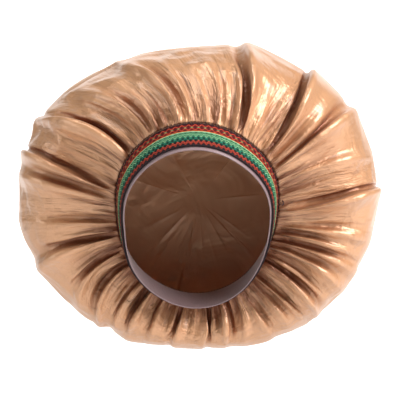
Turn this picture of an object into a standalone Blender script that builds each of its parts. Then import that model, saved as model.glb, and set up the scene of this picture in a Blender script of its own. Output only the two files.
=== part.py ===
"""Satin hair bonnet in the form it has when worn: a gathered satin crown on a wide elastic band.

Metres, +Z up. The origin is the middle of the head opening, where the bonnet sits on the head.
The wearer faces -Y, and +X is to the right of someone who looks at the face.
The crown is one hollow bag of satin. Its hem is gathered onto the back edge of the band, from
where it springs forward, turns over at its rim and closes behind the head.
"""

import math
from collections import namedtuple

import bmesh
import bpy
import numpy as np
from mathutils import Vector

# Head opening: the line where the satin is sewn to the band
OPENING_WIDTH = 0.160
OPENING_TILT_DEG = 40.0

# Elastic band and the strip of lining that shows below it
BAND_WIDTH = 0.028
BAND_THICKNESS = 0.0018
BAND_FLARE_DEG = 12.0
LINING_THICKNESS = 0.0010
LINING_SHOWS = 0.0035
LINING_TUCK = 0.0020
SEAM_GAP = 0.0005

# Puffed crown. The shares say how far the satin runs straight out of the band, and how wide its
# turns at the rim and the back are. RIM_LEAN brings the rim forward at the top.
CROWN_WIDTH = 0.374
CROWN_BACK = 0.165
POLE_HEIGHT = 0.015
RIM_DEPTH = 0.048
RIM_LEAN = 0.035
SATIN_THICKNESS = 0.0012
SPRING_SHARE = 0.50
RIM_ROUND_SHARE = 0.55
BACK_ROUND_SHARE = 0.60

# Cloth relief. Folds and gathers rise, fade and reach in steps of run: 0 at the band, 1 at the
# rim. A valley lies beside each crest, placed and spread in the fold's own half widths.
FOLD_HEIGHT = 0.0095
GATHER_HEIGHT = 0.0030
GATHER_RISE = 0.10
GATHER_REACH = 0.22
WIDEST_COLUMN_DEG = 4.6
NARROWEST_COLUMN_DEG = 1.8
VALLEY_OFFSET = 1.15
VALLEY_SHARE = 0.50
VALLEY_SPREAD = 0.60
FOLD_RISE = 0.35
FOLD_FADE = 1.20
FOLD_FLOP = 0.45

BAND_SEGMENTS = 96
FRONT_RINGS = (0.0, 0.06, 0.14, 0.26, 0.40, 0.55, 0.70, 0.85)
BACK_RINGS = (1.0, 1.16, 1.32, 1.48, 1.64, 1.78, 1.90)

# Sections round the opening, every 30 degrees from +X towards +Z. hem_reach is a share of half
# the opening's width, rim_reach a share of half the crown's width, and spring_deg is how far
# forward the satin leaves the band.
Section = namedtuple("Section", "hem_reach rim_reach spring_deg")
SECTION_STEP_DEG = 30.0
SECTIONS = (
    Section(0.97, 0.985, 30.0),
    Section(1.05, 1.015, 28.0),
    Section(1.06, 0.960, 22.0),
    Section(1.09, 0.915, 20.0),
    Section(1.10, 0.940, 22.0),
    Section(1.08, 1.015, 28.0),
    Section(1.01, 0.985, 30.0),
    Section(1.03, 0.895, 20.0),
    Section(1.03, 0.800, 8.0),
    Section(1.03, 0.765, 2.0),
    Section(1.00, 0.805, 8.0),
    Section(0.96, 0.905, 20.0),
)

# Main folds, in order round the opening. hem_deg and rim_deg say where a fold leaves the band and
# where it crosses the rim. begins and ends count from 0 at the band to 1 at the rim and 2 at the
# back. height is a share of FOLD_HEIGHT, spread_deg the half width, and lean the side it flops to.
Fold = namedtuple("Fold", "hem_deg rim_deg begins ends height spread_deg lean")
FOLDS = (
    Fold(-2.0, 5.0, 0.05, 1.60, 0.95, 2.8, 1),
    Fold(20.0, 17.0, 0.10, 1.40, 0.25, 3.0, 1),
    Fold(29.0, 34.0, 0.05, 1.55, 1.00, 3.0, 1),
    Fold(35.5, 40.5, 0.00, 1.10, 0.55, 2.2, 1),
    Fold(41.5, 49.5, 0.00, 1.60, 1.10, 3.2, 1),
    Fold(62.0, 75.0, 0.00, 1.60, 0.80, 3.4, 1),
    Fold(77.8, 92.0, 0.00, 0.95, 0.35, 2.2, -1),
    Fold(94.6, 108.0, 0.00, 0.95, 0.40, 2.4, -1),
    Fold(101.5, 118.0, 0.00, 1.10, 0.50, 2.6, -1),
    Fold(116.0, 129.5, 0.00, 0.90, 0.40, 2.4, -1),
    Fold(122.5, 136.5, 0.00, 1.20, 0.70, 2.8, -1),
    Fold(141.0, 149.5, 0.00, 1.60, 0.70, 3.2, -1),
    Fold(159.0, 160.5, 0.00, 1.60, 0.80, 2.8, -1),
    Fold(168.0, 170.0, 0.00, 1.30, 0.55, 2.6, -1),
    Fold(184.0, 183.0, 0.00, 1.20, 0.45, 2.8, -1),
    Fold(196.0, 200.0, 0.00, 1.50, 0.80, 2.8, -1),
    Fold(205.5, 219.0, 0.10, 1.20, 0.40, 2.4, -1),
    Fold(217.5, 231.0, 0.00, 1.50, 0.60, 3.0, -1),
    Fold(230.0, 237.5, 0.00, 1.30, 0.45, 2.6, -1),
    Fold(244.0, 244.0, 0.00, 1.40, 0.40, 2.6, -1),
    Fold(258.0, 256.0, 0.00, 1.50, 0.50, 3.0, -1),
    Fold(273.0, 271.0, 0.00, 1.40, 0.50, 3.0, 1),
    Fold(288.0, 286.0, 0.00, 1.40, 0.50, 3.0, 1),
    Fold(300.0, 299.5, 0.05, 1.30, 0.35, 2.6, 1),
    Fold(311.0, 309.5, 0.00, 1.40, 0.65, 2.8, 1),
    Fold(325.0, 319.5, 0.00, 1.40, 0.80, 3.2, 1),
    Fold(337.5, 327.5, 0.00, 1.30, 0.55, 2.4, 1),
    Fold(345.5, 340.0, 0.00, 1.50, 0.85, 2.8, 1),
)


def around(column, degrees):
    """Value of a SECTIONS column at any angle, smooth and without an end."""
    rows = np.array([getattr(section, column) for section in SECTIONS])
    place = (np.asarray(degrees) % 360.0) / SECTION_STEP_DEG
    first = np.floor(place).astype(int)
    f = place - first
    before, a, b, after = (rows[(first + k) % len(rows)] for k in (-1, 0, 1, 2))
    return (
        a
        + 0.5 * f * (b - before)
        + f**2 * (before - 2.5 * a + 2.0 * b - 0.5 * after)
        + f**3 * (1.5 * (a - b) + 0.5 * (after - before))
    )


def ease(share):
    """0 to 1 with a level start and end."""
    share = np.clip(share, 0.0, 1.0)
    return share * share * (3.0 - 2.0 * share)


def bezier(points, share):
    """Point on a cubic curve between points[0] and points[3]."""
    rest = 1.0 - share
    weights = (rest**3, 3 * rest**2 * share, 3 * rest * share**2, share**3)
    return sum(weight * point for weight, point in zip(weights, points))


def opening_line(degrees):
    """Points of the sewn line, which lies in a plane that leans back over the head."""
    angle = np.radians(degrees)
    reach = around("hem_reach", degrees) * OPENING_WIDTH / 2
    height = reach * np.sin(angle)
    depth = -math.tan(math.radians(OPENING_TILT_DEG)) * height
    return np.stack([reach * np.cos(angle), depth, height], axis=-1)


def band_directions(degrees):
    """Unit vectors along the band's width towards the face, and out of its face."""
    tilt = math.radians(OPENING_TILT_DEG)
    flare = math.radians(BAND_FLARE_DEG)
    towards_face = np.array([0.0, -math.cos(tilt), -math.sin(tilt)])
    line = opening_line(degrees)
    outward = line / np.linalg.norm(line, axis=-1, keepdims=True)
    across = math.cos(flare) * towards_face - math.sin(flare) * outward
    out = math.cos(flare) * outward + math.sin(flare) * towards_face
    return across, out


def rim_angle(hem_deg):
    """Angle at which the cloth that leaves the band at hem_deg crosses the rim."""
    hems = np.array([fold.hem_deg for fold in FOLDS])
    drifts = np.array([fold.rim_deg - fold.hem_deg for fold in FOLDS])
    return hem_deg + np.interp(hem_deg, hems, drifts, period=360.0)


def smooth_crown(hem_deg, run):
    """Points of the crown without its folds. run goes from 0 at the band over 1 at the rim to 2."""
    to_rim = ease(np.minimum(run, 1.0))
    degrees = hem_deg + (rim_angle(hem_deg) - hem_deg) * to_rim
    angle = np.radians(degrees)
    across, out = band_directions(degrees)
    sewn = opening_line(degrees) + BAND_THICKNESS / 2 * out - SEAM_GAP * across
    hem_reach = np.hypot(sewn[..., 0], sewn[..., 2])
    hem_depth = sewn[..., 1]
    rim_reach = around("rim_reach", degrees) * CROWN_WIDTH / 2
    rim_depth = RIM_DEPTH - RIM_LEAN * np.sin(angle)
    spring = np.radians(around("spring_deg", degrees))
    puff = rim_reach - hem_reach
    back = CROWN_BACK - rim_depth

    front = np.minimum(run, 1.0)
    leave = SPRING_SHARE * puff
    turn = RIM_ROUND_SHARE * puff
    reach_front = bezier(
        (hem_reach, hem_reach + leave * np.cos(spring), rim_reach, rim_reach), front
    )
    depth_front = bezier(
        (hem_depth, hem_depth - leave * np.sin(spring), rim_depth - turn, rim_depth), front
    )
    behind = np.clip(run - 1.0, 0.0, 1.0)
    full = BACK_ROUND_SHARE
    reach_behind = bezier((rim_reach, rim_reach, full * rim_reach, 0.0), behind)
    depth_behind = bezier((rim_depth, rim_depth + full * back, CROWN_BACK, CROWN_BACK), behind)
    reach = np.where(run <= 1.0, reach_front, reach_behind)
    depth = np.where(run <= 1.0, depth_front, depth_behind)
    height = reach * np.sin(angle) + POLE_HEIGHT * ease(behind)
    return np.stack([reach * np.cos(angle), depth, height], axis=-1)


def crown_axes(hem_deg, run):
    """Unit vectors out of the smooth crown and round it, by small steps along its surface."""
    step_deg, step_run = 0.5, 0.004
    low, high = np.maximum(run - step_run, 0.0), run + step_run
    along = smooth_crown(hem_deg, high) - smooth_crown(hem_deg, low)
    round_it = smooth_crown(hem_deg + step_deg, run) - smooth_crown(hem_deg - step_deg, run)
    round_it /= np.linalg.norm(round_it, axis=-1, keepdims=True)
    out = np.cross(along, round_it)
    out /= np.linalg.norm(out, axis=-1, keepdims=True)
    return out, round_it


def fold_relief(hem_deg, run):
    """Height of the folds above the smooth crown, and how far they flop round it."""
    height = np.zeros(np.broadcast(hem_deg, run).shape)
    flop = np.zeros_like(height)
    for fold in FOLDS:
        away = (hem_deg - fold.hem_deg + 180.0) % 360.0 - 180.0
        away = fold.lean * away / fold.spread_deg
        crest = np.exp(-(away**2))
        valley = VALLEY_SHARE * np.exp(-(((away - VALLEY_OFFSET) / VALLEY_SPREAD) ** 2))
        rises = ease((run - fold.begins) / FOLD_RISE)
        fades = ease((fold.ends - run) / FOLD_FADE)
        tall = FOLD_HEIGHT * fold.height * rises * fades
        height += tall * (crest - valley)
        flop += FOLD_FLOP * tall * fold.lean * crest
    return height, flop


def column_angles():
    """Where the crown's columns of faces leave the band: on each crest, in each valley, between."""
    marks = []
    for fold in FOLDS:
        valley = fold.hem_deg + fold.lean * VALLEY_OFFSET * fold.spread_deg
        marks += [fold.hem_deg % 360.0, valley % 360.0]
    marks.sort()
    kept = [marks[0]]
    for mark in marks[1:]:
        if mark - kept[-1] >= NARROWEST_COLUMN_DEG:
            kept.append(mark)
    columns = []
    for this, following in zip(kept, kept[1:] + [kept[0] + 360.0]):
        parts = math.ceil((following - this) / WIDEST_COLUMN_DEG)
        columns += [this + (following - this) * k / parts for k in range(parts)]
    return np.array(columns)


def crown_rings():
    """Rings of points from the band to the back of the crown, with every fold and gather."""
    columns = column_angles()
    zigzag = np.where(np.arange(len(columns)) % 2 == 0, 1.0, -1.0)
    rings = []
    for run in FRONT_RINGS + BACK_RINGS:
        run = np.full_like(columns, run)
        out, round_it = crown_axes(columns, run)
        height, flop = fold_relief(columns, run)
        gather = ease(run / GATHER_RISE) * ease(1.0 - run / GATHER_REACH)
        height = height + GATHER_HEIGHT * zigzag * gather
        ring = smooth_crown(columns, run) + out * height[:, None] + round_it * flop[:, None]
        rings.append(ring)
    return rings


def loft(rings, close_with=None):
    """A sheet through closed rings of points, by extruding one ring of edges after another."""
    mesh = bmesh.new()
    made = bmesh.ops.create_circle(mesh, segments=len(rings[0]), radius=1.0)
    corners = made["verts"]
    edges = list(mesh.edges)
    for corner, point in zip(corners, rings[0]):
        corner.co = point
    for ring in rings[1:]:
        made = bmesh.ops.extrude_edge_only(mesh, edges=edges)["geom"]
        edges = [item for item in made if isinstance(item, bmesh.types.BMEdge)]
        fresh = {item for item in made if isinstance(item, bmesh.types.BMVert)}
        edges = [edge for edge in edges if set(edge.verts) <= fresh]
        following = []
        for corner in corners:
            reached = [edge.other_vert(corner) for edge in corner.link_edges]
            following += [vert for vert in reached if vert in fresh]
        corners = following
        for corner, point in zip(corners, ring):
            corner.co = point
    if close_with is not None:
        cap = bmesh.ops.contextual_create(mesh, geom=edges)["faces"]
        bmesh.ops.poke(mesh, faces=cap)
        pole = max(mesh.verts, key=lambda vert: len(vert.link_edges))
        pole.co = close_with
    return mesh


def sheet_object(name, mesh, thickness, offset, material, outside):
    """Object whose wall has the given thickness. outside is a point that its outer side faces."""
    bmesh.ops.recalc_face_normals(mesh, faces=mesh.faces)
    near = min(mesh.faces, key=lambda face: (face.calc_center_median() - outside).length)
    if near.normal.dot(outside - near.calc_center_median()) < 0:
        bmesh.ops.reverse_faces(mesh, faces=mesh.faces)
    data = bpy.data.meshes.new(name)
    mesh.to_mesh(data)
    mesh.free()
    data.materials.append(material)
    data.shade_smooth()
    made = bpy.data.objects.new(name, data)
    bpy.context.scene.collection.objects.link(made)
    wall = made.modifiers.new("wall", "SOLIDIFY")
    wall.thickness = thickness
    wall.offset = offset
    return made


def plain_material(name, colour, roughness, metallic=0.0):
    material = bpy.data.materials.new(name)
    material.use_nodes = True
    shader = material.node_tree.nodes["Principled BSDF"]
    shader.inputs["Base Color"].default_value = (*colour, 1.0)
    shader.inputs["Roughness"].default_value = roughness
    shader.inputs["Metallic"].default_value = metallic
    return material


def make_crown():
    """The satin bag, gathered at its hem, with its folds and one wall all over."""
    rings = crown_rings()
    mesh = loft(rings, close_with=(0.0, CROWN_BACK, POLE_HEIGHT))
    satin = plain_material("satin", (0.60, 0.36, 0.22), 0.32, 0.15)
    behind = Vector((0.0, 3.0 * CROWN_BACK, 0.0))
    return sheet_object("crown", mesh, SATIN_THICKNESS, -1.0, satin, behind)


def band_rings(inward, starts, ends):
    """Two rings of points along the band, starts and ends counted from its sewn edge."""
    degrees = np.arange(BAND_SEGMENTS) * 360.0 / BAND_SEGMENTS
    across, out = band_directions(degrees)
    line = opening_line(degrees) - inward * out
    return [line + starts * across, line + ends * across]


def make_band():
    """The patterned elastic that grips the head."""
    mesh = loft(band_rings(0.0, 0.0, BAND_WIDTH))
    elastic = plain_material("elastic", (0.05, 0.35, 0.20), 0.75)
    above = Vector((0.0, 0.0, CROWN_WIDTH))
    return sheet_object("band", mesh, BAND_THICKNESS, 0.0, elastic, above)


def make_band_lining():
    """The soft strip inside the elastic, whose edge shows below it."""
    inward = BAND_THICKNESS / 2 + SEAM_GAP + LINING_THICKNESS / 2
    mesh = loft(band_rings(inward, LINING_TUCK, BAND_WIDTH + LINING_SHOWS))
    lining = plain_material("lining", (0.30, 0.22, 0.20), 0.45)
    above = Vector((0.0, 0.0, CROWN_WIDTH))
    return sheet_object("band_lining", mesh, LINING_THICKNESS, 0.0, lining, above)


for leftover in list(bpy.data.objects):
    bpy.data.objects.remove(leftover)
make_crown()
make_band()
make_band_lining()
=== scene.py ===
"""Satin hair bonnet as worn: a puffed, gathered satin crown on a wide zigzag elastic band.

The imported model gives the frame. The wearer faces -Y, +X is to the right of someone who looks at
the face, and the origin is the middle of the head opening. All lengths are in metres.
"""

import math
from collections import namedtuple

import bmesh
import bpy
import numpy as np
from mathutils import Euler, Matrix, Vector


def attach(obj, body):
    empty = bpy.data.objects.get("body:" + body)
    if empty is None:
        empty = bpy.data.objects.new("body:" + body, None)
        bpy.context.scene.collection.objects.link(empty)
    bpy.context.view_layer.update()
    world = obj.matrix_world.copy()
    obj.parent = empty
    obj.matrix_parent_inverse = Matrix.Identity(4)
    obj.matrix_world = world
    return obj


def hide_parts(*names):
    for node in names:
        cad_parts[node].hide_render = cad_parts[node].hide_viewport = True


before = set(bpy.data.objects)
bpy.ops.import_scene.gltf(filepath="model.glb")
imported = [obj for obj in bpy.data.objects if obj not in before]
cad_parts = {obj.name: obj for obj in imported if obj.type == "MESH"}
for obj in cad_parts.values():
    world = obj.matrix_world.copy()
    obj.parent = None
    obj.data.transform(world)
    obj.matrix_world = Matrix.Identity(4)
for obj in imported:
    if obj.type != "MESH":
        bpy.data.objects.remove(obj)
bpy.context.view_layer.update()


# The sewn line. The satin and the elastic meet in one overlocked seam that runs round the head,
# low on the forehead in front and under the hair at the nape. It lies in a plane that leans back.
OPENING_WIDTH = 0.160
OPENING_TILT_DEG = 40.0
BAND_FLARE_DEG = 12.0
BAND_THICKNESS = 0.0018
SEAM_GAP = 0.0005

# hem_reach is a share of half the opening's width, rim_reach a share of half the crown's width,
# and spring_deg is how far forward the satin leaves the band, every 30 degrees from +X to +Z.
Section = namedtuple("Section", "hem_reach rim_reach spring_deg")
SECTION_STEP_DEG = 30.0
SECTIONS = (
    Section(0.97, 0.985, 16.0),
    Section(1.05, 1.015, 14.0),
    Section(1.06, 0.960, 10.0),
    Section(1.09, 0.915, 8.0),
    Section(1.10, 0.940, 10.0),
    Section(1.08, 1.015, 14.0),
    Section(1.01, 0.985, 16.0),
    Section(1.03, 0.895, 12.0),
    Section(1.03, 0.800, 4.0),
    Section(1.03, 0.765, 0.0),
    Section(1.00, 0.805, 4.0),
    Section(0.96, 0.905, 12.0),
)


def around(column, degrees):
    """Value of a SECTIONS column at any angle, smooth and without an end."""
    rows = np.array([getattr(section, column) for section in SECTIONS])
    place = (np.asarray(degrees) % 360.0) / SECTION_STEP_DEG
    first = np.floor(place).astype(int)
    f = place - first
    before, a, b, after = (rows[(first + k) % len(rows)] for k in (-1, 0, 1, 2))
    return (
        a
        + 0.5 * f * (b - before)
        + f**2 * (before - 2.5 * a + 2.0 * b - 0.5 * after)
        + f**3 * (1.5 * (a - b) + 0.5 * (after - before))
    )


def sewn_line(degrees):
    """Points of the seam between satin and elastic."""
    angle = np.radians(degrees)
    reach = around("hem_reach", degrees) * OPENING_WIDTH / 2
    height = reach * np.sin(angle)
    depth = -math.tan(math.radians(OPENING_TILT_DEG)) * height
    return np.stack([reach * np.cos(angle), depth, height], axis=-1)


def band_directions(degrees):
    """Unit vectors along the elastic's width towards the face, and out of its face."""
    tilt = math.radians(OPENING_TILT_DEG)
    flare = math.radians(BAND_FLARE_DEG)
    towards_face = np.array([0.0, -math.cos(tilt), -math.sin(tilt)])
    line = sewn_line(degrees)
    outward = line / np.linalg.norm(line, axis=-1, keepdims=True)
    across = math.cos(flare) * towards_face - math.sin(flare) * outward
    out = math.cos(flare) * outward + math.sin(flare) * towards_face
    return across, out


# The band. A wide woven elastic, sewn into a closed loop and stretched round the head. Its zigzag
# rows are woven in coloured yarn, so each row is a raised line of thread on the ground weave.
BAND_WIDTH = 0.028
BAND_COLUMNS = 192
BAND_RINGS = 7
ZIGZAGS = 108
DIAMONDS = 86


def hem_angle(point):
    """Angle of a spun point round the Z axis, from 0 to 360."""
    return math.degrees(math.atan2(point.y, point.x)) % 360.0


def spun_ring(radii, columns):
    """Flat rings of faces between those radii, spun from a spoke along X."""
    form = bmesh.new()
    spoke = [form.verts.new((radius, 0.0, 0.0)) for radius in radii]
    threads = [form.edges.new(pair) for pair in zip(spoke, spoke[1:])]
    bmesh.ops.spin(
        form,
        geom=spoke + threads,
        cent=(0.0, 0.0, 0.0),
        axis=(0.0, 0.0, 1.0),
        angle=math.tau,
        steps=columns,
        use_merge=True,
    )
    return form


def finished(form, name):
    """Put a modelled form into the scene as a smooth-shaded object."""
    mesh = bpy.data.meshes.new(name)
    form.to_mesh(mesh)
    form.free()
    mesh.shade_smooth()
    piece = bpy.data.objects.new(name, mesh)
    bpy.context.scene.collection.objects.link(piece)
    return piece


def woven_strip(name, starts, ends, offset, thickness):
    """Lay a strip on the band's line between two shares of its width, and give it a wall."""
    # Radius 2 is the strip's sewn edge and radius 1 its free edge.
    strip = spun_ring([2.0 - ring / (BAND_RINGS - 1) for ring in range(BAND_RINGS)], BAND_COLUMNS)
    weave = strip.loops.layers.uv.new("weave")
    for face in strip.faces:
        middle_deg = hem_angle(face.calc_center_median())
        for loop in face.loops:
            away = (hem_angle(loop.vert.co) - middle_deg + 180.0) % 360.0 - 180.0
            share = 2.0 - loop.vert.co.xy.length
            loop[weave].uv = ((middle_deg + away) / 360.0, starts + (ends - starts) * share)
    degrees = np.array([hem_angle(vert.co) for vert in strip.verts])
    share = np.array([2.0 - vert.co.xy.length for vert in strip.verts])
    across, out = band_directions(degrees)
    run = BAND_WIDTH * (starts + (ends - starts) * share)
    places = sewn_line(degrees) + across * run[:, None] + out * offset
    for vert, place in zip(strip.verts, places):
        vert.co = place
    bmesh.ops.recalc_face_normals(strip, faces=strip.faces)
    strip.faces.ensure_lookup_table()
    sample = strip.faces[0]
    if sample.normal.dot(sample.calc_center_median()) < 0:
        bmesh.ops.reverse_faces(strip, faces=strip.faces)
    piece = finished(strip, name)
    wall = piece.modifiers.new("wall", "SOLIDIFY")
    wall.thickness = thickness
    wall.offset = 0.0
    edges = piece.modifiers.new("edges", "BEVEL")
    edges.width = 0.2 * thickness
    edges.segments = 2
    edges.limit_method = "ANGLE"
    return piece


def node(kind, **inputs):
    """New node in the tree being built, with its fixed inputs set and its sockets linked."""
    made = tree.nodes.new(kind)
    for key, value in inputs.items():
        socket = made.inputs[key.replace("_", " ")]
        if isinstance(value, bpy.types.NodeSocket):
            tree.links.new(value, socket)
        else:
            socket.default_value = value
    return made


def remap(value, curve="SMOOTHSTEP", **ends):
    """A value taken from one range to another."""
    made = node("ShaderNodeMapRange", Value=value, **ends)
    made.interpolation_type = curve
    return made.outputs["Result"]


def dyed(factor, under, over):
    """Colour that goes from under to over with the factor."""
    made = tree.nodes.new("ShaderNodeMix")
    made.data_type = "RGBA"
    for key, value in (("Factor", factor), ("A", under), ("B", over)):
        if isinstance(value, bpy.types.NodeSocket):
            tree.links.new(value, made.inputs[key])
        else:
            made.inputs[key].default_value = value
    return made.outputs["Result"]


def maths(operation, *terms):
    """Result of a Math node that is fed numbers or sockets."""
    made = tree.nodes.new("ShaderNodeMath")
    made.operation = operation
    for index, term in enumerate(terms):
        if isinstance(term, bpy.types.NodeSocket):
            tree.links.new(term, made.inputs[index])
        else:
            made.inputs[index].default_value = term
    return made.outputs[0]


# Mask of one zigzag row: 1 on the yarn, 0 off it.
zigzag = bpy.data.node_groups.new("zigzag_row", "ShaderNodeTree")
for name in ("Along", "Across", "Row", "Swing", "Half", "Shift"):
    zigzag.interface.new_socket(name, in_out="INPUT", socket_type="NodeSocketFloat")
zigzag.interface.new_socket("Yarn", in_out="OUTPUT", socket_type="NodeSocketFloat")
tree = zigzag
given = tree.nodes.new("NodeGroupInput").outputs
swung = maths("PINGPONG", maths("ADD", given["Along"], given["Shift"]), 0.5)
swung = maths("SUBTRACT", maths("MULTIPLY", swung, 2.0), 0.5)
line = maths("ADD", given["Row"], maths("MULTIPLY", swung, given["Swing"]))
away = maths("ABSOLUTE", maths("SUBTRACT", given["Across"], line))
# The yarn's edge is soft: full up to 0.6 of its half width and gone at 1.2.
on_yarn = remap(
    away,
    From_Min=maths("MULTIPLY", given["Half"], 0.6),
    From_Max=maths("MULTIPLY", given["Half"], 1.2),
    To_Min=1.0,
    To_Max=0.0,
)
tree.links.new(on_yarn, tree.nodes.new("NodeGroupOutput").inputs["Yarn"])

# Rows from the sewn edge to the free edge: place, swing and half width as shares of the band's
# width, shift in zigzags, how many zigzags go round, and the yarn's colour. GROUND is the colour
# of the weave behind them, from each share of the width on.
Row = namedtuple("Row", "place swing half shift zigzags colour")
RED = (0.85, 0.085, 0.035, 1.0)
ORANGE = (0.85, 0.19, 0.03, 1.0)
MINT = (0.48, 1.0, 0.56, 1.0)
TEAL = (0.01, 0.30, 0.18, 1.0)
ROWS = (
    Row(0.120, 0.105, 0.013, 0.0, DIAMONDS, RED),
    Row(0.270, 0.105, 0.013, 0.5, DIAMONDS, RED),
    Row(0.352, 0.010, 0.010, 0.0, ZIGZAGS, ORANGE),
    Row(0.385, 0.010, 0.009, 0.0, ZIGZAGS, MINT),
    Row(0.455, 0.140, 0.009, 0.0, ZIGZAGS, MINT),
    Row(0.550, 0.140, 0.013, 0.0, ZIGZAGS, MINT),
    Row(0.640, 0.110, 0.012, 0.0, ZIGZAGS, TEAL),
    Row(0.705, 0.110, 0.012, 0.5, ZIGZAGS, TEAL),
    Row(0.825, 0.110, 0.013, 0.0, ZIGZAGS, RED),
    Row(0.890, 0.110, 0.010, 0.0, ZIGZAGS, RED),
)
GROUND = (
    (0.00, (0.020, 0.005, 0.010, 1.0)),
    (0.05, (0.090, 0.004, 0.004, 1.0)),
    (0.38, (0.005, 0.080, 0.025, 1.0)),
    (0.60, (0.004, 0.018, 0.012, 1.0)),
    (0.77, (0.012, 0.004, 0.005, 1.0)),
    (0.95, (0.020, 0.010, 0.012, 1.0)),
)

elastic = bpy.data.materials.new("woven_elastic")
elastic.use_nodes = True
tree = elastic.node_tree
shader = tree.nodes["Principled BSDF"]
shader.inputs["Roughness"].default_value = 0.7
shader.inputs["Specular IOR Level"].default_value = 0.25
weave_place = tree.nodes.new("ShaderNodeUVMap")
weave_place.uv_map = "weave"
weave_axes = node("ShaderNodeSeparateXYZ", Vector=weave_place.outputs["UV"])
around_share, across_share = weave_axes.outputs["X"], weave_axes.outputs["Y"]
ground = node("ShaderNodeValToRGB", Fac=across_share)
ground.color_ramp.interpolation = "CONSTANT"
stops = ground.color_ramp.elements
stops[0].position, stops[0].color = GROUND[0]
stops[1].position, stops[1].color = GROUND[-1]
for place, colour in GROUND[1:-1]:
    stops.new(place).color = colour
colour_so_far = ground.outputs["Color"]
raised_so_far = 0.0
for row in ROWS:
    yarn = tree.nodes.new("ShaderNodeGroup")
    yarn.node_tree = zigzag
    yarn.inputs["Row"].default_value = row.place
    yarn.inputs["Swing"].default_value = row.swing
    yarn.inputs["Half"].default_value = row.half
    yarn.inputs["Shift"].default_value = row.shift
    turns = maths("MULTIPLY", around_share, float(row.zigzags))
    tree.links.new(turns, yarn.inputs["Along"])
    tree.links.new(across_share, yarn.inputs["Across"])
    colour_so_far = dyed(yarn.outputs["Yarn"], colour_so_far, row.colour)
    raised_so_far = maths("MAXIMUM", raised_so_far, yarn.outputs["Yarn"])

# A small green dot in every diamond of the red part.
DOT_ROW = 0.195
DOT_STRETCH = 9.0
DOT_SIZE = 0.045
DOT_GREEN = (0.03, 0.28, 0.11, 1.0)
dot_along = maths("PINGPONG", maths("MULTIPLY", around_share, float(DIAMONDS)), 1.0)
dot_along = maths("SUBTRACT", dot_along, 0.5)
dot_across = maths("MULTIPLY", maths("SUBTRACT", across_share, DOT_ROW), DOT_STRETCH)
dot_reach = maths("ADD", maths("POWER", dot_along, 2.0), maths("POWER", dot_across, 2.0))
dotted = dyed(maths("LESS_THAN", dot_reach, DOT_SIZE), colour_so_far, DOT_GREEN)
tree.links.new(dotted, shader.inputs["Base Color"])

# The rows stand up from a ground of fine ribs along the strip and picks across it.
RIBS = 324
RIB_HEIGHT = 0.25
PICKS = 32
PICK_HEIGHT = 0.2
ribs = maths("SINE", maths("MULTIPLY", around_share, math.tau * RIBS))
picks = maths("SINE", maths("MULTIPLY", across_share, math.tau * PICKS))
ribs = maths("MULTIPLY", ribs, RIB_HEIGHT)
picks = maths("MULTIPLY", picks, PICK_HEIGHT)
weave_height = maths("ADD", raised_so_far, maths("ADD", ribs, picks))
weave_bump = node("ShaderNodeBump", Strength=0.6, Distance=0.0006, Height=weave_height)
tree.links.new(weave_bump.outputs["Normal"], shader.inputs["Normal"])

band = woven_strip("elastic_band", 0.0, 1.0, 0.0, BAND_THICKNESS)
band.data.materials.append(elastic)
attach(band, "root")
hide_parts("band")


# The lining. A strip of mauve satin sewn inside the elastic, so that no rubber touches the skin. A
# narrow edge of it rolls out below the band.
LINING_THICKNESS = 0.0010
LINING_SHOWS = 0.0035
LINING_TUCK = 0.0020
MAUVE = (0.28, 0.19, 0.195, 1.0)

mauve = bpy.data.materials.new("mauve_satin")
mauve.use_nodes = True
tree = mauve.node_tree
shader = tree.nodes["Principled BSDF"]
shader.inputs["Base Color"].default_value = MAUVE
shader.inputs["Roughness"].default_value = 0.4
shader.inputs["Sheen Weight"].default_value = 0.3
lining_place = tree.nodes.new("ShaderNodeUVMap")
lining_place.uv_map = "weave"
stretch = node("ShaderNodeMapping", Vector=lining_place.outputs["UV"], Scale=(420.0, 3.0, 1.0))
puckers = node("ShaderNodeTexNoise", Vector=stretch.outputs["Vector"], Scale=1.0, Detail=2.0)
lining_bump = node(
    "ShaderNodeBump", Strength=0.5, Distance=0.0008, Height=puckers.outputs["Fac"]
)
tree.links.new(lining_bump.outputs["Normal"], shader.inputs["Normal"])

lining = woven_strip(
    "mauve_lining",
    LINING_TUCK / BAND_WIDTH,
    1.0 + LINING_SHOWS / BAND_WIDTH,
    -BAND_THICKNESS / 2 - SEAM_GAP - LINING_THICKNESS / 2,
    LINING_THICKNESS,
)
lining.data.materials.append(mauve)
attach(lining, "root")
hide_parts("band_lining")


# The overlock stitches. Dark thread whipped round the sewn edge, which binds the satin's gathers to
# the elastic, with a loose end of the same thread at the wearer's left temple.
THREAD = 0.0004
STITCHES = 168
STEPS_PER_STITCH = 8
STITCH_REACH = 0.0019
SEAM_LENGTH = 0.60
TAIL_DEG = 9.0
TAIL_REACH = 0.0022
TAIL_TURNS = 1.7
TAIL_STEPS = 28
TAIL_LENGTH = 0.003
TAIL_TURNED_DEG = (0.0, 25.0, 80.0)
THREAD_BLACK = (0.030, 0.010, 0.012, 1.0)


def wound_thread(turns, steps, reach, length):
    """Thread wound round the X axis at that reach, from x 0 to x = length."""
    wound = bmesh.new()
    tip = bmesh.ops.create_circle(wound, cap_ends=False, segments=5, radius=THREAD)["verts"]
    bmesh.ops.translate(wound, verts=tip, vec=(0.0, reach, 0.0))
    bmesh.ops.spin(
        wound,
        geom=wound.verts[:] + wound.edges[:],
        cent=(0.0, 0.0, 0.0),
        axis=(1.0, 0.0, 0.0),
        dvec=(length / steps, 0.0, 0.0),
        angle=math.tau * turns,
        steps=steps,
    )
    return wound


def thread_piece(wound, name):
    """Finish a wound thread as an object with the dark yarn on it."""
    bmesh.ops.recalc_face_normals(wound, faces=wound.faces)
    piece = finished(wound, name)
    piece.data.materials.append(dark_yarn)
    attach(piece, "root")


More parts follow.
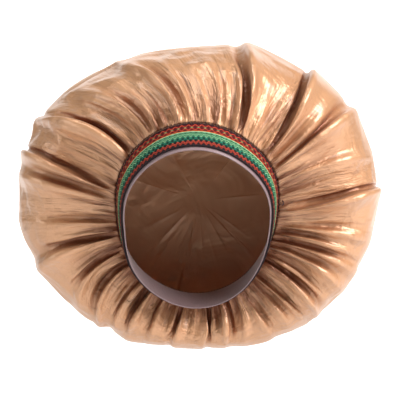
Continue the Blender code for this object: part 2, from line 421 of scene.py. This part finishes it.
dark_yarn = bpy.data.materials.new("dark_thread")
dark_yarn.use_nodes = True
shader = dark_yarn.node_tree.nodes["Principled BSDF"]
shader.inputs["Base Color"].default_value = THREAD_BLACK
shader.inputs["Roughness"].default_value = 0.6

# Wound straight first, then bent round the opening.
whip = wound_thread(STITCHES, STITCHES * STEPS_PER_STITCH, STITCH_REACH, SEAM_LENGTH)
whip_places = np.array([vert.co[:] for vert in whip.verts])
whip_deg = whip_places[:, 0] / SEAM_LENGTH * 360.0
across, out = band_directions(whip_deg)
whipped = sewn_line(whip_deg) + out * whip_places[:, 1:2] + across * whip_places[:, 2:3]
for vert, place in zip(whip.verts, whipped):
    vert.co = place
bmesh.ops.remove_doubles(whip, verts=whip.verts, dist=2e-5)
thread_piece(whip, "overlock_thread")

tail = wound_thread(TAIL_TURNS, TAIL_STEPS, TAIL_REACH, TAIL_LENGTH)
bmesh.ops.holes_fill(tail, edges=[edge for edge in tail.edges if edge.is_boundary])
across, out = band_directions(TAIL_DEG)
tail_place = sewn_line(TAIL_DEG) + out * (BAND_THICKNESS + TAIL_REACH)
bmesh.ops.rotate(
    tail,
    verts=tail.verts,
    cent=(0.0, 0.0, 0.0),
    matrix=Euler([math.radians(turned) for turned in TAIL_TURNED_DEG]).to_matrix(),
)
bmesh.ops.translate(tail, verts=tail.verts, vec=tail_place)
thread_piece(tail, "loose_thread_end")


# The crown. A disc of champagne charmeuse satin whose edge is gathered onto the elastic, so that
# it stands out round the face, rolls over at its rim and closes in one bag behind the head. The
# pull of the gathers runs out over the cloth in long folds that lean the way the cap was twisted.
CROWN_WIDTH = 0.374
CROWN_BACK = 0.163
SATIN_THICKNESS = 0.0010
FLAT_DIAMETER = 0.66

# The cloth starts a little smaller than it ends, because its inner pressure puffs it up. The rim is
# this far behind the middle of the opening at the sides, nearer above and farther below, and the
# disc's middle ends up a little above the middle of the opening.
BEFORE_PUFFING = 0.965
RIM_DEPTH = 0.048
RIM_LEAN = 0.035
POLE_HEIGHT = 0.015

# Fineness of the disc before it is doubled. Its rings end just before its middle, which is closed
# after the cloth has settled.
CROWN_COLUMNS = 240
FRONT_RINGS = 28
BACK_RINGS = 12
MIDDLE_RUN = 1.97

CHAMPAGNE = (0.66, 0.340, 0.165, 1.0)
PALE_CHAMPAGNE = (0.75, 0.415, 0.220, 1.0)
# DEEP_SHADE and SLIT_SHADE are painted shade: dark browns laid into the hollows between folds and
# the slits between pleats.
DEEP_SHADE = (0.24, 0.070, 0.024, 1.0)
SLIT_SHADE = (0.17, 0.05, 0.02, 1.0)

# How roundly the cloth leaves the band, turns over at the rim and closes behind.
SPRING_SHARE = 0.50
RIM_ROUND_SHARE = 0.55
BACK_ROUND_SHARE = 0.60

# The main folds' full height, the share of it at the hem, how soon it is reached, how it fades and
# how much of it is lost at the rim. Then the share of a fold's width at the hem, how deep the
# valley beside it is and how far the crest flops over it, as shares of its height, and how far the
# cloth between the folds sinks in.
FOLD_HEIGHT = 0.0160
FOLD_AT_HEM = 0.25
FOLD_RISE = 0.45
FOLD_FADE = 1.25
FOLD_RIM_LOSS = 0.45
FOLD_WIDTH_AT_HEM = 0.55
FOLD_VALLEY = 0.75
FOLD_FLOP = 0.45
PANEL_DROP = 0.0040

# Settling: how often and how long, how much too large the cloth is cut near the hem and at the
# back, how firmly it is held in its place and how much firmer at the hem, and the inner pressure.
SETTLE_PASSES = 4
SETTLE_FRAMES = 7
SLACK_AT_HEM = 0.045
SLACK_AT_BACK = 0.014
HOLD = 0.16
FIRMER_AT_HEM = 0.5
PRESSURE = 3.0

# Creases on the main folds, in metres.
CREST_CREASE = 0.0030
VALLEY_CREASE = 0.0034

# Small pleats at the hem: how far each is out of its even place as a share of their spacing, the
# least and most of its height as a share of PLEAT_HEIGHT, of its half width, and of its end.
PLEATS = 62
PLEAT_SHIFT = 0.35
PLEAT_HEIGHT = 0.0080
PLEAT_TALL = (0.35, 1.0)
PLEAT_SPREAD_DEG = (1.0, 1.7)
PLEAT_ENDS = (0.3, 0.9)

# Long swells over the back: least and most of their height, start, end and half width, and how far
# they twist round from the rim to the middle.
SWELLS = 26
SWELL_TALL = (0.0015, 0.0045)
SWELL_STARTS = (0.7, 1.1)
SWELL_ENDS = (1.5, 1.95)
SWELL_SPREAD_DEG = (4.0, 9.0)
SWELL_TWIST_DEG = 14.0

# Main folds, in order round the opening. hem_deg and rim_deg say where a fold leaves the band and
# where it crosses the rim. ends counts from 0 at the band to 1 at the rim and 2 at the back.
# height is a share of FOLD_HEIGHT, spread_deg the half width, and lean the side it flops to.
Fold = namedtuple("Fold", "hem_deg rim_deg ends height spread_deg lean")
FOLDS = (
    Fold(2.2, 7.5, 1.60, 1.00, 2.8, 1),
    Fold(11.0, 12.5, 0.80, 0.35, 2.0, 1),
    Fold(21.3, 18.2, 1.30, 0.45, 2.6, 1),
    Fold(30.5, 33.4, 1.55, 1.00, 3.0, 1),
    Fold(36.0, 39.0, 1.20, 0.60, 2.2, 1),
    Fold(40.5, 51.0, 1.60, 1.15, 3.2, 1),
    Fold(52.5, 57.0, 0.80, -0.55, 3.2, -1),
    Fold(62.0, 73.5, 1.60, 0.90, 3.6, 1),
    Fold(72.0, 83.0, 0.60, 0.45, 1.8, -1),
    Fold(78.3, 92.0, 1.00, 0.50, 2.2, -1),
    Fold(86.0, 99.0, 0.60, 0.40, 1.8, -1),
    Fold(95.3, 108.0, 0.95, 0.55, 2.4, -1),
    Fold(101.8, 117.8, 1.20, 0.80, 2.6, -1),
    Fold(110.0, 122.0, 0.60, 0.35, 2.0, -1),
    Fold(116.0, 126.0, 0.85, 0.45, 2.2, -1),
    Fold(122.3, 136.0, 1.10, 0.80, 2.6, -1),
    Fold(132.0, 143.0, 0.60, 0.40, 2.0, -1),
    Fold(141.2, 149.4, 1.40, 0.85, 3.2, -1),
    Fold(153.0, 154.5, 0.60, 0.35, 2.2, -1),
    Fold(164.5, 160.5, 1.60, 1.00, 2.8, -1),
    Fold(170.5, 168.0, 1.40, 0.75, 2.4, -1),
    Fold(176.0, 174.0, 0.80, 0.40, 2.0, -1),
    Fold(185.6, 183.0, 1.10, 0.50, 2.8, -1),
    Fold(195.0, 199.0, 1.50, 0.90, 2.8, -1),
    Fold(206.1, 218.0, 1.20, 0.70, 2.4, -1),
    Fold(216.4, 228.0, 1.40, 0.75, 2.8, -1),
    Fold(229.0, 234.0, 1.20, 0.50, 2.4, -1),
    Fold(238.6, 240.0, 1.30, 0.45, 2.4, -1),
    Fold(250.0, 249.0, 1.30, 0.45, 2.8, -1),
    Fold(262.0, 260.0, 1.40, 0.50, 2.8, -1),
    Fold(274.0, 271.0, 1.40, 0.50, 2.8, 1),
    Fold(285.0, 281.0, 1.30, 0.50, 2.8, 1),
    Fold(294.0, 289.0, 1.30, 0.45, 2.4, 1),
    Fold(299.0, 300.0, 1.30, 0.55, 2.2, 1),
    Fold(308.0, 308.5, 1.30, 0.55, 2.4, 1),
    Fold(313.0, 315.0, 1.20, 0.50, 2.2, 1),
    Fold(324.0, 319.5, 1.35, 0.80, 2.6, 1),
    Fold(329.0, 324.5, 1.10, 0.55, 2.0, 1),
    Fold(336.5, 331.5, 1.35, 0.75, 2.4, 1),
    Fold(341.5, 340.0, 1.30, 0.60, 2.2, 1),
    Fold(346.5, 345.0, 1.00, 0.55, 2.0, 1),
    Fold(351.6, 351.2, 1.20, 0.65, 2.4, 1),
)


def ease(share):
    """0 to 1 with a level start and end."""
    share = np.clip(share, 0.0, 1.0)
    return share * share * (3.0 - 2.0 * share)


def bezier(points, share):
    """Point on a cubic curve between points[0] and points[3]."""
    rest = 1.0 - share
    weights = (rest**3, 3 * rest**2 * share, 3 * rest * share**2, share**3)
    return sum(weight * point for weight, point in zip(weights, points))


def rim_angle(hem_deg):
    """Angle at which the cloth that leaves the band at hem_deg crosses the rim."""
    hems = np.array([fold.hem_deg for fold in FOLDS])
    drifts = np.array([fold.rim_deg - fold.hem_deg for fold in FOLDS])
    return hem_deg + np.interp(hem_deg, hems, drifts, period=360.0)


def smooth_crown(hem_deg, run):
    """Points of the crown without its folds. run goes from 0 at the band over 1 at the rim to 2."""
    to_rim = ease(np.minimum(run, 1.0))
    degrees = hem_deg + (rim_angle(hem_deg) - hem_deg) * to_rim
    angle = np.radians(degrees)
    across, out = band_directions(degrees)
    sewn = sewn_line(degrees) + BAND_THICKNESS / 2 * out - SEAM_GAP * across
    hem_reach = np.hypot(sewn[..., 0], sewn[..., 2])
    hem_depth = sewn[..., 1]
    rim_reach = around("rim_reach", degrees) * CROWN_WIDTH / 2 * BEFORE_PUFFING
    rim_depth = RIM_DEPTH - RIM_LEAN * np.sin(angle)
    spring = np.radians(around("spring_deg", degrees))
    puff = rim_reach - hem_reach
    back = CROWN_BACK - rim_depth

    front = np.minimum(run, 1.0)
    leave = SPRING_SHARE * puff
    turn = RIM_ROUND_SHARE * puff
    reach_front = bezier(
        (hem_reach, hem_reach + leave * np.cos(spring), rim_reach, rim_reach), front
    )
    depth_front = bezier(
        (hem_depth, hem_depth - leave * np.sin(spring), rim_depth - turn, rim_depth), front
    )
    behind = np.clip(run - 1.0, 0.0, 1.0)
    full = BACK_ROUND_SHARE
    reach_behind = bezier((rim_reach, rim_reach, full * rim_reach, 0.0), behind)
    depth_behind = bezier((rim_depth, rim_depth + full * back, CROWN_BACK, CROWN_BACK), behind)
    reach = np.where(run <= 1.0, reach_front, reach_behind)
    depth = np.where(run <= 1.0, depth_front, depth_behind)
    height = reach * np.sin(angle) + POLE_HEIGHT * ease(behind)
    return np.stack([reach * np.cos(angle), depth, height], axis=-1)


def crown_axes(hem_deg, run):
    """Unit vectors out of the smooth crown and round it, by small steps along its surface."""
    step_deg, step_run = 0.5, 0.004
    low, high = np.maximum(run - step_run, 0.0), np.minimum(run + step_run, 1.999)
    along = smooth_crown(hem_deg, high) - smooth_crown(hem_deg, low)
    round_it = smooth_crown(hem_deg + step_deg, run) - smooth_crown(hem_deg - step_deg, run)
    round_it /= np.maximum(np.linalg.norm(round_it, axis=-1, keepdims=True), 1e-9)
    out = np.cross(along, round_it)
    out /= np.maximum(np.linalg.norm(out, axis=-1, keepdims=True), 1e-9)
    return out, round_it


def beside(hem_deg, at_deg):
    """Degrees round the hem from at_deg, between -180 and 180."""
    return (hem_deg - at_deg + 180.0) % 360.0 - 180.0


def fold_relief(hem_deg, run):
    """Height of the main folds above the smooth crown, and how far they flop round it."""
    height = np.zeros_like(run)
    flop = np.zeros_like(run)
    widening = FOLD_WIDTH_AT_HEM + (1.0 - FOLD_WIDTH_AT_HEM) * ease(run / 0.7)
    for fold in FOLDS:
        away = fold.lean * beside(hem_deg, fold.hem_deg) / (fold.spread_deg * widening)
        crest = np.exp(-np.abs(away) ** 1.3)
        valley = FOLD_VALLEY * np.exp(-(((away - 1.1) / 0.5) ** 2))
        rises = FOLD_AT_HEM + (1.0 - FOLD_AT_HEM) * ease(run / FOLD_RISE)
        fades = ease((fold.ends - run) / FOLD_FADE)
        fades *= 1.0 - FOLD_RIM_LOSS * ease((run - 0.5) / 0.5)
        tall = FOLD_HEIGHT * fold.height * rises * fades * ease(run / 0.05)
        height += tall * (crest - valley)
        flop += FOLD_FLOP * tall * fold.lean * crest
    height -= PANEL_DROP * ease(run / 0.35) * ease((1.2 - run) / 0.6)
    return height, flop


def wear(disc):
    """Move each point of the flat disc to its place on the worn crown."""
    cloth = disc.loops.layers.uv.new("cloth")
    for face in disc.faces:
        for loop in face.loops:
            x, y, _ = loop.vert.co
            loop[cloth].uv = (x * FLAT_DIAMETER / 2, y * FLAT_DIAMETER / 2)
    flat = np.array([vert.co[:2] for vert in disc.verts])
    hem_deg = np.degrees(np.arctan2(flat[:, 1], flat[:, 0])) % 360.0
    run = 2.0 * (1.0 - np.hypot(flat[:, 0], flat[:, 1]))
    run = np.clip(run, 0.0, 2.0)
    out, round_it = crown_axes(hem_deg, run)
    height, flop = fold_relief(hem_deg, run)
    worn = smooth_crown(hem_deg, run) + out * height[:, None] + round_it * flop[:, None]
    # Rounded, so that the cloth starts from exactly the same places in every run.
    for vert, place in zip(disc.verts, np.round(worn, 7)):
        vert.co = place


# The cut disc, spun from a spoke of radius 1, from run 0 at its hem.
runs = [ring / FRONT_RINGS for ring in range(FRONT_RINGS)]
runs += [1.0 + ring / BACK_RINGS for ring in range(BACK_RINGS)] + [MIDDLE_RUN]
disc = spun_ring([1.0 - run / 2.0 for run in runs], CROWN_COLUMNS)
wear(disc)
bmesh.ops.recalc_face_normals(disc, faces=disc.faces)
rearmost = max(disc.faces, key=lambda face: face.calc_center_median().y)
if rearmost.normal.y < 0:
    bmesh.ops.reverse_faces(disc, faces=disc.faces)
crown = finished(disc, "satin_crown")


def settle(cloth):
    """Let the satin settle once, cut larger than its place allows so that it buckles into folds."""
    uv = cloth.data.uv_layers["cloth"].uv
    reach = np.zeros(len(cloth.data.vertices))
    for loop in cloth.data.loops:
        reach[loop.vertex_index] = uv[loop.index].vector.length
    share = reach / (FLAT_DIAMETER / 2)
    # The share is 0 in the disc's middle and 1 at its hem. Both are fixed.
    held = cloth.vertex_groups.new(name="held")
    slack = cloth.vertex_groups.new(name="slack")
    for index, at in enumerate(share):
        fixed = at > 0.9999 or at < 0.08
        near_hem = float(ease((at - 0.75) / 0.25))
        loose = float(ease((at - 0.45) / 0.2) * (1.0 - ease((at - 0.72) / 0.22)))
        held.add([index], 1.0 if fixed else HOLD + FIRMER_AT_HEM * near_hem, "REPLACE")
        slack.add([index], loose, "REPLACE")
    drape = cloth.modifiers.new("drape", "CLOTH")
    settings = drape.settings
    settings.vertex_group_mass = "held"
    settings.vertex_group_shrink = "slack"
    settings.shrink_min = -SLACK_AT_BACK
    settings.shrink_max = -SLACK_AT_HEM
    settings.pin_stiffness = 1.0
    settings.quality = 5
    settings.mass = 0.15
    settings.air_damping = 5.0
    settings.tension_stiffness = 15.0
    settings.compression_stiffness = 15.0
    settings.shear_stiffness = 6.0
    settings.bending_stiffness = 0.1
    settings.use_pressure = True
    settings.uniform_pressure_force = PRESSURE
    settings.effector_weights.gravity = 0.0
    drape.collision_settings.use_collision = False
    drape.collision_settings.use_self_collision = False
    drape.point_cache.frame_start = 1
    drape.point_cache.frame_end = SETTLE_FRAMES
    for frame_number in range(1, SETTLE_FRAMES + 1):
        bpy.context.scene.frame_set(frame_number)
    settled = bpy.data.meshes.new_from_object(
        cloth.evaluated_get(bpy.context.evaluated_depsgraph_get())
    )
    cloth.modifiers.remove(drape)
    cloth.vertex_groups.clear()
    cloth.data = settled
    bpy.context.scene.frame_set(1)


for _ in range(SETTLE_PASSES):
    settle(crown)

chance = np.random.default_rng(11)


def place_when_cut(mesh):
    """Hem angle and run of each point, read from the flat place kept in its UV map."""
    corner = np.empty(len(mesh.loops), dtype=np.int32)
    mesh.loops.foreach_get("vertex_index", corner)
    uv = np.empty((len(mesh.loops), 2), dtype=np.float32)
    mesh.uv_layers["cloth"].uv.foreach_get("vector", uv.ravel())
    flat = np.empty((len(mesh.vertices), 2))
    flat[corner] = uv
    hem_deg = np.degrees(np.arctan2(flat[:, 1], flat[:, 0])) % 360.0
    return hem_deg, 2.0 - 4.0 * np.hypot(flat[:, 0], flat[:, 1]) / FLAT_DIAMETER


def pleat_relief(hem_deg, run):
    """Height of the creases on the main folds, the small pleats at the hem and the long swells."""
    height = np.zeros_like(run)
    for fold in FOLDS:
        away = fold.lean * beside(hem_deg, fold.hem_deg)
        crest = np.exp(-np.abs(away))
        valley = np.exp(-(((away - 2.2) / 1.0) ** 2))
        fades = ease(run / 0.12) * ease((0.75 * fold.ends - run) / 0.6)
        height += fold.height * fades * (CREST_CREASE * crest - VALLEY_CREASE * valley)
    step = 360.0 / PLEATS
    for pleat in range(PLEATS):
        at_deg = (pleat + chance.uniform(-PLEAT_SHIFT, PLEAT_SHIFT)) * step
        tall = PLEAT_HEIGHT * chance.uniform(*PLEAT_TALL)
        spread = chance.uniform(*PLEAT_SPREAD_DEG)
        ends = chance.uniform(*PLEAT_ENDS)
        away = beside(hem_deg, at_deg) / spread
        crest = np.exp(-np.abs(away) ** 1.3)
        height += tall * crest * ease(run / 0.05) * ease((ends - run) / 0.5)
    for _ in range(SWELLS):
        at_deg = chance.uniform(0.0, 360.0)
        tall = chance.uniform(*SWELL_TALL)
        starts = chance.uniform(*SWELL_STARTS)
        ends = chance.uniform(*SWELL_ENDS)
        twisted = beside(hem_deg, at_deg) + SWELL_TWIST_DEG * (run - 1.0)
        away = twisted / chance.uniform(*SWELL_SPREAD_DEG)
        crest = np.exp(-np.abs(away) ** 1.7)
        height += tall * crest * ease((run - starts) / 0.4) * ease((ends - run) / 0.6)
    return height - 0.4 * PLEAT_HEIGHT * ease(run / 0.05) * ease((0.6 - run) / 0.5)


def close_middle(mesh):
    """Draw the ring of edges round the middle of the disc together into one point."""
    disc = bmesh.new()
    disc.from_mesh(mesh)
    behind_rim = 2.0 * RIM_DEPTH
    ring = [e for e in disc.edges if e.is_boundary and all(v.co.y > behind_rim for v in e.verts)]
    drawn = bmesh.ops.extrude_edge_only(disc, edges=ring)["geom"]
    tips = [item for item in drawn if isinstance(item, bmesh.types.BMVert)]
    middle = sum((tip.co for tip in tips), Vector()) / len(tips)
    cloth_uv = disc.loops.layers.uv["cloth"]
    for tip in tips:
        for loop in tip.link_loops:
            loop[cloth_uv].uv = (0.0, 0.0)
    bmesh.ops.pointmerge(disc, verts=tips, merge_co=middle)
    disc.to_mesh(mesh)
    disc.free()


def press_pleats(cloth):
    """Double the cloth's fineness, close its middle, then raise the pleats and creases on it."""
    finer = cloth.modifiers.new("finer", "SUBSURF")
    finer.levels = finer.render_levels = 1
    pressed = bpy.data.meshes.new_from_object(
        cloth.evaluated_get(bpy.context.evaluated_depsgraph_get())
    )
    cloth.modifiers.remove(finer)
    close_middle(pressed)
    hem_deg, run = place_when_cut(pressed)
    height = pleat_relief(hem_deg, run)
    place = np.empty((len(height), 3), dtype=np.float32)
    pressed.vertices.foreach_get("co", place.ravel())
    outward = np.empty((len(height), 3), dtype=np.float32)
    pressed.vertex_normals.foreach_get("vector", outward.ravel())
    place += outward * height[:, None].astype(np.float32)
    pressed.vertices.foreach_set("co", place.ravel())
    pressed.update()
    pressed.shade_smooth()
    cloth.data = pressed


press_pleats(crown)
wall = crown.modifiers.new("wall", "SOLIDIFY")
wall.thickness = SATIN_THICKNESS
wall.offset = -1.0

satin = bpy.data.materials.new("champagne_satin")
satin.use_nodes = True
tree = satin.node_tree
shader = tree.nodes["Principled BSDF"]
shader.inputs["Metallic"].default_value = 0.25
shader.inputs["Coat Roughness"].default_value = 0.3
shader.inputs["Anisotropic"].default_value = 0.5
shader.inputs["Sheen Weight"].default_value = 0.2
shader.inputs["Sheen Roughness"].default_value = 0.4
shader.inputs["Sheen Tint"].default_value = (1.0, 0.8, 0.65, 1.0)
cut_map = tree.nodes.new("ShaderNodeUVMap")
cut_map.uv_map = "cloth"
cut_place = cut_map.outputs["UV"]
warp = tree.nodes.new("ShaderNodeTangent")
warp.direction_type = "UV_MAP"
warp.uv_map = "cloth"
tree.links.new(warp.outputs["Tangent"], shader.inputs["Tangent"])

# Long floats of thread make the gloss uneven along the warp.
streaks = node("ShaderNodeMapping", Vector=cut_place, Scale=(1400.0, 90.0, 1.0))
floats = node("ShaderNodeTexNoise", Vector=streaks.outputs["Vector"], Scale=1.0, Detail=2.0)
gloss = remap(floats.outputs["Fac"], "LINEAR", To_Min=0.32, To_Max=0.46)
tree.links.new(gloss, shader.inputs["Roughness"])

# Champagne dye, a little cloudy, with painted shade darker and redder deep between the folds.
clouds = node("ShaderNodeTexNoise", Vector=cut_place, Scale=9.0, Detail=3.0)
dye = dyed(clouds.outputs["Fac"], CHAMPAGNE, PALE_CHAMPAGNE)
depth = node("ShaderNodeAmbientOcclusion", Distance=0.03)
depth.samples = 8
unshaded_share = remap(depth.outputs["AO"], From_Min=0.25, From_Max=0.9)
shaded = dyed(unshaded_share, DEEP_SHADE, dye)


def vector_maths(operation, vector):
    """Vector Math node that works on one vector."""
    made = tree.nodes.new("ShaderNodeVectorMath")
    made.operation = operation
    tree.links.new(vector, made.inputs[0])
    return made


# Pulls: noise drawn out along the lines from the disc's middle to its hem. Its low parts get
# painted shade as dark slits between pleats where the hem is gathered, and it bumps the fine
# creases that run out from them. far_out is in metres, from 0 in the middle to half of
# FLAT_DIAMETER at the hem.
far_out = vector_maths("LENGTH", cut_place).outputs["Value"]
direction = vector_maths("NORMALIZE", cut_place)
ray = vector_maths("SCALE", direction.outputs["Vector"])
ray.inputs["Scale"].default_value = 15.0
ray_axes = node("ShaderNodeSeparateXYZ", Vector=ray.outputs["Vector"])
pull_place = node(
    "ShaderNodeCombineXYZ",
    X=ray_axes.outputs["X"],
    Y=ray_axes.outputs["Y"],
    Z=maths("MULTIPLY", far_out, 9.0),
)
pulls = node(
    "ShaderNodeTexNoise",
    Vector=pull_place.outputs["Vector"],
    Scale=1.0,
    Detail=3.0,
    Roughness=0.6,
).outputs["Fac"]
# Painted shade of the slits: dark where the pulls are low, and only near the hem.
slits = remap(pulls, From_Min=0.36, From_Max=0.56, To_Min=1.0, To_Max=0.0)
gathered = remap(far_out, From_Min=0.235, From_Max=0.325, To_Max=0.85)
pleat_shade = maths("MULTIPLY", slits, gathered)
slit_shaded = dyed(pleat_shade, shaded, SLIT_SHADE)
tree.links.new(slit_shaded, shader.inputs["Base Color"])

# The gloss lies on the open cloth and is taken off where the painted shade of folds and pleats
# lies.
coat_outside_shade = remap(pleat_shade, "LINEAR", To_Min=0.75, To_Max=0.0)
tree.links.new(maths("MULTIPLY", coat_outside_shade, unshaded_share), shader.inputs["Coat Weight"])

# Soft dents of limp cloth, then the pulled creases, then the grain of the weave.
dents = node(
    "ShaderNodeTexNoise",
    Vector=cut_place,
    Scale=30.0,
    Detail=3.0,
    Roughness=0.5,
    Distortion=0.6,
)
rumple = node("ShaderNodeBump", Strength=0.6, Distance=0.010, Height=dents.outputs["Fac"])
near_hem = remap(far_out, From_Min=0.08, From_Max=0.31)
crease = node(
    "ShaderNodeBump",
    Strength=0.9,
    Distance=0.008,
    Height=maths("MULTIPLY", pulls, near_hem),
    Normal=rumple.outputs["Normal"],
)
grain = node(
    "ShaderNodeBump",
    Strength=0.08,
    Distance=0.0002,
    Height=floats.outputs["Fac"],
    Normal=crease.outputs["Normal"],
)
tree.links.new(grain.outputs["Normal"], shader.inputs["Normal"])
crown.data.materials.append(satin)
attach(crown, "root")
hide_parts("crown")


# Backdrop and floor. A white studio sweep: a pale floor that runs back to a wall which glows a
# little, well below the held-up cap so that no shadow of it shows.
FLOOR_HEIGHT = -0.45
FLOOR_HALF = 4.0
FLOOR_MIDDLE = 2.0
WALL_HEIGHT = 6.0
sweep = bmesh.new()
bmesh.ops.create_grid(sweep, x_segments=1, y_segments=1, size=FLOOR_HALF)
bmesh.ops.translate(sweep, verts=sweep.verts, vec=(0.0, FLOOR_MIDDLE, FLOOR_HEIGHT))
back_edge = [e for e in sweep.edges if all(v.co.y > FLOOR_HALF for v in e.verts)]
raised = bmesh.ops.extrude_edge_only(sweep, edges=back_edge)["geom"]
bmesh.ops.translate(
    sweep,
    verts=[item for item in raised if isinstance(item, bmesh.types.BMVert)],
    vec=(0.0, 0.0, WALL_HEIGHT),
)
bmesh.ops.recalc_face_normals(sweep, faces=sweep.faces)
studio = finished(sweep, "studio_sweep")
studio.data.shade_flat()
paper = bpy.data.materials.new("white_paper")
paper.use_nodes = True
tree = paper.node_tree
shader = tree.nodes["Principled BSDF"]
shader.inputs["Base Color"].default_value = (0.95, 0.95, 0.95, 1.0)
shader.inputs["Roughness"].default_value = 0.9
shader.inputs["Emission Color"].default_value = (1.0, 1.0, 1.0, 1.0)
paper_place = tree.nodes.new("ShaderNodeTexCoord")
paper_axes = node("ShaderNodeSeparateXYZ", Vector=paper_place.outputs["Object"])
glow = remap(paper_axes.outputs["Y"], From_Min=0.4, From_Max=2.2)
tree.links.new(glow, shader.inputs["Emission Strength"])
studio.data.materials.append(paper)


# Light and camera. One big soft key from the right and a little above, a weaker fill from the left
# and a narrow one overhead. The camera looks straight at the face opening.
def softbox(name, place, size, watts, colour=(1.0, 1.0, 1.0)):
    """Square area light that looks at the middle of the cap."""
    data = bpy.data.lights.new(name, "AREA")
    data.shape = "RECTANGLE"
    data.size, data.size_y = size
    data.energy = watts
    data.color = colour
    lamp = bpy.data.objects.new(name, data)
    lamp.location = place
    lamp.rotation_euler = (-Vector(place)).to_track_quat("-Z", "Y").to_euler()
    bpy.context.scene.collection.objects.link(lamp)


softbox("key", (1.6, -1.1, 1.15), (1.3, 1.3), 69.0, (1.0, 0.96, 0.97))
softbox("fill", (-1.9, -0.4, 0.4), (0.9, 1.2), 10.0)
softbox("top", (-0.4, -0.6, 1.8), (1.2, 0.6), 16.0)

world = bpy.data.worlds.new("studio")
world.use_nodes = True
air = world.node_tree.nodes["Background"]
air.inputs["Color"].default_value = (1.0, 0.9, 0.82, 1.0)
air.inputs["Strength"].default_value = 0.08
bpy.context.scene.world = world

CAMERA_DISTANCE = 1.6
SENSOR = 36.0
PHOTO_PIXELS = 400
MIDDLE_PIXEL = (198.5, 215.0)
METRES_PER_PIXEL = 0.001
camera_data = bpy.data.cameras.new("camera")
camera_data.sensor_width = SENSOR
camera_data.lens = SENSOR * CAMERA_DISTANCE / (PHOTO_PIXELS * METRES_PER_PIXEL)
camera_data.shift_x = (PHOTO_PIXELS / 2 - MIDDLE_PIXEL[0]) / PHOTO_PIXELS
camera_data.shift_y = (MIDDLE_PIXEL[1] - PHOTO_PIXELS / 2) / PHOTO_PIXELS
camera = bpy.data.objects.new("camera", camera_data)
camera.location = (0.0, -CAMERA_DISTANCE, 0.0)
camera.rotation_euler = (math.radians(90.0), 0.0, 0.0)
bpy.context.scene.collection.objects.link(camera)
bpy.context.scene.camera = camera
bpy.context.scene.view_settings.view_transform = "Standard"
